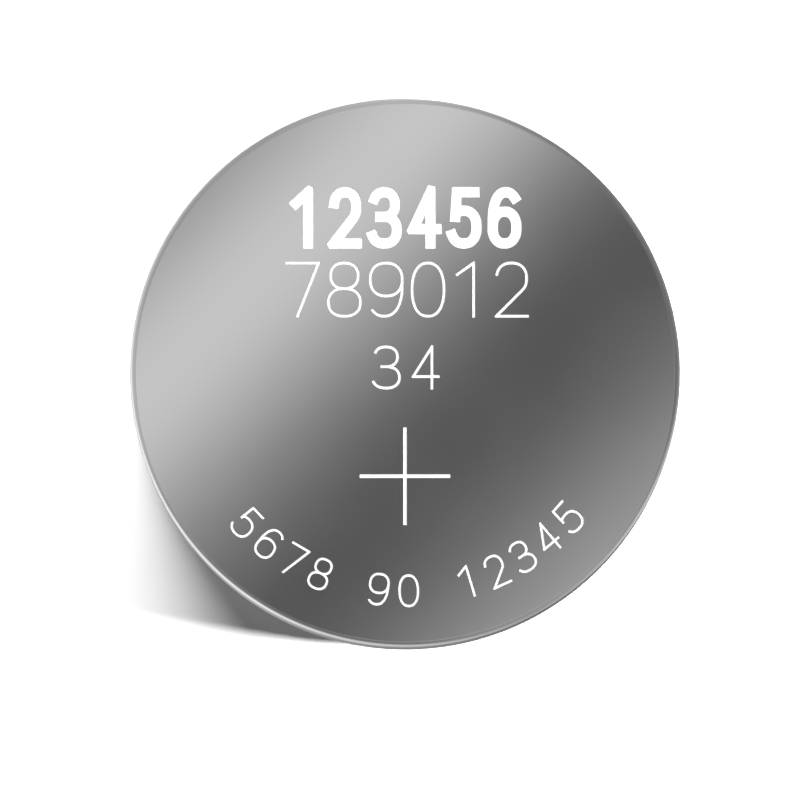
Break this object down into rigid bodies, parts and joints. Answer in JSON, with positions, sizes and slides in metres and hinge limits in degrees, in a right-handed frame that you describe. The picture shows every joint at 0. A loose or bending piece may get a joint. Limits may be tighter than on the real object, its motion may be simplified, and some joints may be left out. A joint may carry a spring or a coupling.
{
  "type": "lithium coin cell",
  "caption": "Flat round lithium coin cell: a steel can rolled in over a gasket and a stepped steel cap, with its lithium, separator, cathode and collector inside.",
  "frame": {"origin": "middle of the negative contact face, which is also the lowest point of the cell", "axes": "+Z along the cell's axis from the negative contact face to the positive one; +Y is the upper side of the marks on the positive face"},
  "size_m": [0.02, 0.02, 0.0032],
  "materials": {
    "can_steel": "satin nickel-plated",
    "cap_steel": "satin",
    "gasket_polypropylene": "moulded",
    "lithium": "soft dull metal foil",
    "separator_film": "non-woven",
    "manganese_dioxide": "pressed powder",
    "collector_steel": "expanded metal"
  },
  "bodies": {
    "root": {"positive_can": "can_steel", "negative_cap": "cap_steel", "gasket": "gasket_polypropylene", "lithium_anode": "lithium", "separator": "separator_film", "cathode_pellet": "manganese_dioxide", "cathode_collector": "collector_steel"}
  },
  "joints": []
}
